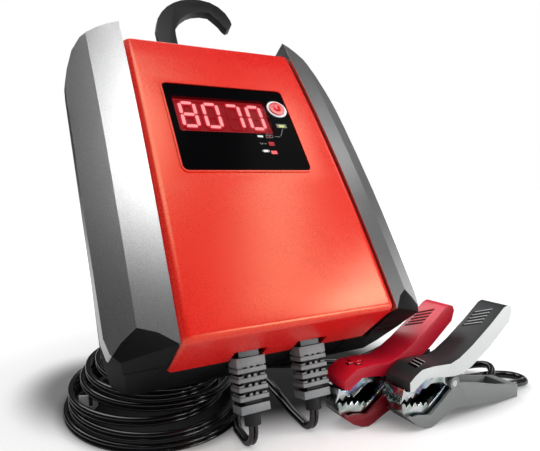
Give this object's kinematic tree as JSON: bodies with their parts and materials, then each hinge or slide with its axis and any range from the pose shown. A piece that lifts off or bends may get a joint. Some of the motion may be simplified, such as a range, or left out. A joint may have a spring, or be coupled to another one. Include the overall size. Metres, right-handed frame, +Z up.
{
  "type": "car battery charger",
  "caption": "Wall-hanging car battery charger with display panel, folding hook, coiled leads and spring clamps.",
  "frame": {"origin": "on the floor under the middle of the case", "axes": "+Z up, -Y towards the front of the case, +X along the case's width"},
  "size_m": [0.3703, 0.2638, 0.3699],
  "materials": {
    "red_gloss": "gloss",
    "silver_paint": "satin metallic",
    "black_plastic": "fine texture",
    "panel_black": "gloss",
    "window": "clear red",
    "display": "matte",
    "lamp_green": "gloss",
    "lamp_red": "gloss",
    "board": "satin",
    "steel": "satin",
    "chrome": "bright",
    "copper": "lacquered",
    "aluminium": "satin",
    "sleeve": "gloss",
    "relief": "matte",
    "lead": "gloss",
    "tie": "matte",
    "clamp_red": "satin",
    "clamp_black": "satin",
    "brass": "bright"
  },
  "bodies": {
    "charger": {"front_cover": "red_gloss", "back_shell": "black_plastic", "side_panel_left": "silver_paint", "side_panel_right": "silver_paint", "control_panel": "panel_black", "display_window": "window", "display_module": "display", "button_ring": "chrome", "button_spring": "steel", "tact_switch": "black_plastic", "lamp_yellow": "lamp_green", "lamp_red": "lamp_red", "control_board": "board", "power_board": "board", "transformer_core": "steel", "transformer_winding": "copper", "heat_sink": "aluminium", "capacitors": "sleeve", "cover_screws": "steel", "board_screws": "steel", "hook_pin": "steel", "hook_washers": "steel", "strain_relief_mains": "relief", "strain_relief_output": "relief", "mains_lead": "lead", "mains_plug": "black_plastic", "plug_blades": "brass", "mains_tie": "tie", "output_lead": "lead", "output_tie": "tie", "lead_splitter": "black_plastic", "clamp_lead_red": "lead", "clamp_lead_black": "lead", "red_lower_handle": "clamp_red", "red_lower_jaw": "chrome", "red_pivot_pin": "steel", "red_spring": "steel", "black_lower_handle": "clamp_black", "black_lower_jaw": "chrome", "black_pivot_pin": "steel", "black_spring": "steel"},
    "hook_body": {"hook": "black_plastic"},
    "button_body": {"button_cap": "lamp_red"},
    "red_jaw_body": {"red_upper_handle": "clamp_red", "red_upper_jaw": "chrome"},
    "black_jaw_body": {"black_upper_handle": "clamp_black", "black_upper_jaw": "chrome"}
  },
  "joints": [
    {"name": "hook_fold", "type": "hinge", "parent": "charger", "child": "hook_body", "pos_m": [-0.017, 0.09902, 0.26911], "axis": [-1, 0, 0], "range_deg": [0, 173]},
    {"name": "button_press", "type": "slide", "parent": "charger", "child": "button_body", "axis": [0, 0.7972, -0.6037], "range_m": [0, 0.0012], "stiffness_N_per_m": 250, "springref_m": -0.0006, "deforming": ["button_spring"]},
    {"name": "red_clamp_open", "type": "hinge", "parent": "charger", "child": "red_jaw_body", "pos_m": [0.08889, -0.07383, 0.028], "axis": [-0.0349, 0.9994, 0], "range_deg": [0, 22], "stiffness_Nm_per_rad": 1.2, "springref_deg": -20.05},
    {"name": "black_clamp_open", "type": "hinge", "parent": "charger", "child": "black_jaw_body", "pos_m": [0.12729, -0.09753, 0.028], "axis": [-0.0349, 0.9994, 0], "range_deg": [0, 22], "stiffness_Nm_per_rad": 1.2, "springref_deg": -20.05}
  ]
}
